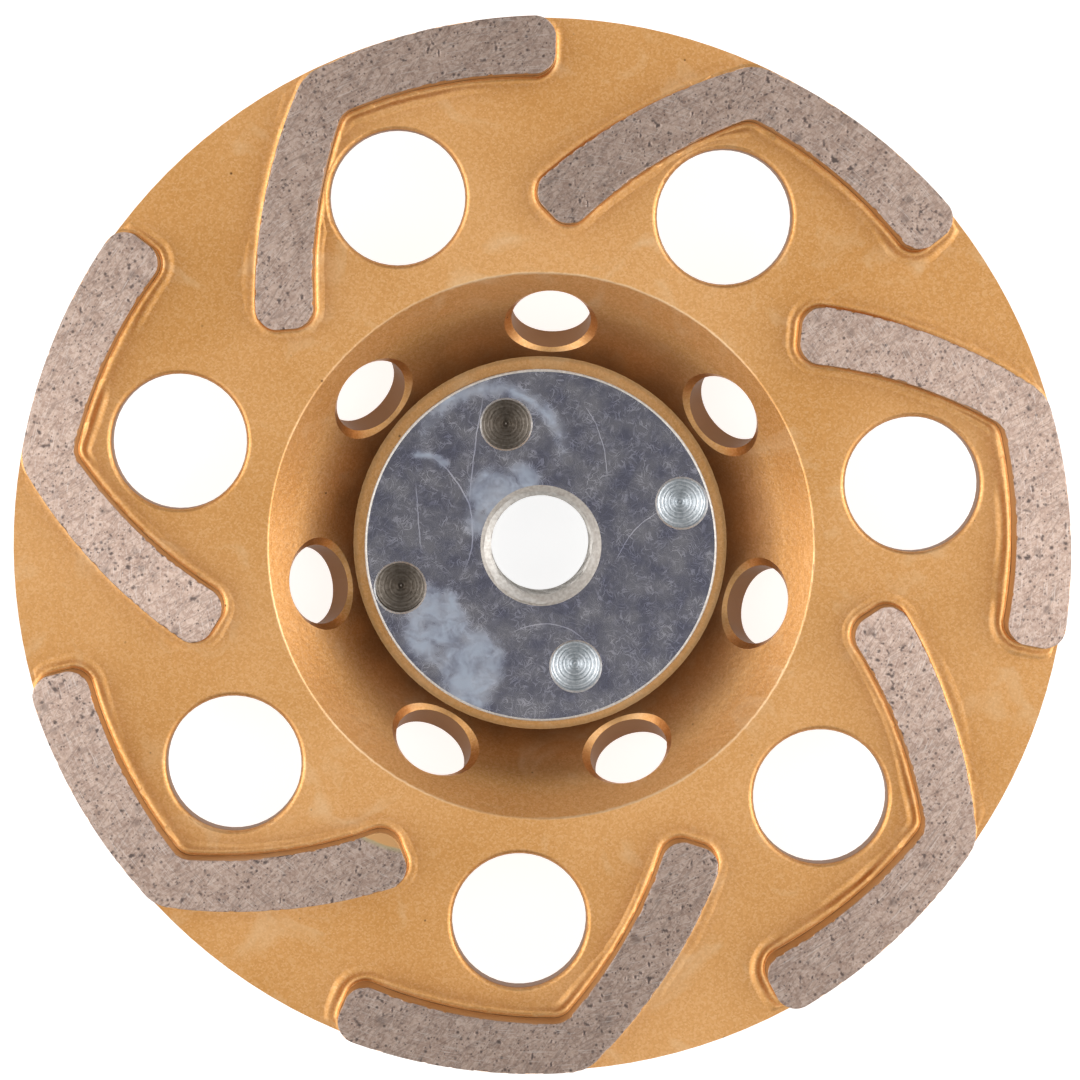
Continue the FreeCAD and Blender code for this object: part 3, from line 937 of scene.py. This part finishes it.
def add_world():
    """A white room, brighter at the sides than at the ends, whose ceiling has a dark opening."""
    world = bpy.data.worlds.new("studio")
    bpy.context.scene.world = world
    world.use_nodes = True
    tree = world.node_tree
    tree.nodes.clear()
    direction = add(tree, "ShaderNodeTexCoord", {}).outputs["Generated"]
    squares = add(tree, "ShaderNodeVectorMath", {0: direction, 1: direction},
                  operation="MULTIPLY").outputs[0]
    height = add(tree, "ShaderNodeSeparateXYZ", {"Vector": squares}).outputs["Z"]
    raised = add(tree, "ShaderNodeVectorMath", {0: squares, "Scale": height}, operation="SCALE")
    walls = add(tree, "ShaderNodeVectorMath", {0: squares, 1: WALL_LEVELS},
                operation="DOT_PRODUCT")
    ceiling = add(tree, "ShaderNodeVectorMath", {0: raised.outputs[0], 1: CEILING_LEVELS},
                  operation="DOT_PRODUCT")
    room = add(tree, "ShaderNodeMath", {0: walls.outputs["Value"], 1: ceiling.outputs["Value"]},
               operation="ADD")
    opening = add(tree, "ShaderNodeMapRange",
                  {"Value": height, "From Min": OPENING_EDGE[0], "From Max": OPENING_EDGE[1],
                   "To Min": 1.0, "To Max": OPENING_LEVEL})
    level = add(tree, "ShaderNodeMath", {0: room.outputs[0], 1: opening.outputs[0]},
                operation="MULTIPLY")
    seen = add(tree, "ShaderNodeLightPath", {}).outputs["Is Camera Ray"]
    level = add(tree, "ShaderNodeMix", {0: seen, 2: level.outputs[0], 3: 1.0})
    light = add(tree, "ShaderNodeBackground", {0: (1, 1, 1, 1), 1: level.outputs[0]})
    add(tree, "ShaderNodeOutputWorld", {0: light.outputs[0]})


def add_floor():
    """A plain pale floor that reads as white but keeps the wheel's shadow."""
    mesh = bpy.data.meshes.new("floor")
    corners = [(FLOOR_HALF * x, FLOOR_HALF * y, 0) for x, y in ((-1, -1), (1, -1), (1, 1), (-1, 1))]
    mesh.from_pydata(corners, [], [(0, 1, 2, 3)])
    floor = bpy.data.objects.new("floor", mesh)
    floor.location.z = -FLOOR_DROP * MM
    bpy.context.scene.collection.objects.link(floor)
    material, tree, shader = new_material("floor_matt_white")
    path = add(tree, "ShaderNodeLightPath", {})
    seen = greatest(tree, [path.outputs["Is Camera Ray"], path.outputs["Is Glossy Ray"],
                           path.outputs["Is Transmission Ray"]])
    glow = add(tree, "ShaderNodeMath", {0: seen, 1: FLOOR_GLOW}, operation="MULTIPLY")
    shader.inputs["Base Color"].default_value = linear("#b4b4b4")
    shader.inputs["Roughness"].default_value = 0.9
    shader.inputs["Specular IOR Level"].default_value = 0.0
    shader.inputs["Emission Color"].default_value = (1, 1, 1, 1)
    tree.links.new(glow.outputs[0], shader.inputs["Emission Strength"])
    mesh.materials.append(material)


cup_gold = gold_metallic_paint("gold_metallic_paint_on_cup", 1.0)
gold = gold_metallic_paint("gold_metallic_paint_on_segments", 0.6)
zinc = zinc_plated_steel()
sinter = ground_sinter()
# Bare or thinly plated steel: turned in the bore, and drilled holes in a lit and a shaded copy of
# one steel, whose colours are painted light and shade, the shaded one also rougher
bore_steel = machined_steel("turned_steel_in_bore", "#d6d2cc", "#bdb7b0", 0.5, 0.7)
shaded_copy_steel = machined_steel("drilled_steel_shaded_copy", "#a39a90", "#82796f", 0.42, 0.8)
lit_copy_steel = machined_steel("drilled_steel_lit_copy", "#e6e8ea", "#c4c9cc", 0.34, 1.0)

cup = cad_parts["cup_body"]
cup.data.materials.clear()
cup.data.materials.append(cup_gold)
threaded_hub([zinc, bore_steel, shaded_copy_steel, lit_copy_steel])
for station in range(STATION_COUNT):
    diamond_segment(station, [sinter, gold])
    braze_bead(station, gold)

add_camera()
add_softbox("softbox_left", (-0.75, 0.05, 0.35), (0.5, 0.7), 1.5)
add_softbox("softbox_right", (0.75, 0.05, 0.35), (0.5, 0.7), 2.0)
add_world()
add_floor()
bpy.context.scene.view_settings.view_transform = "Standard"
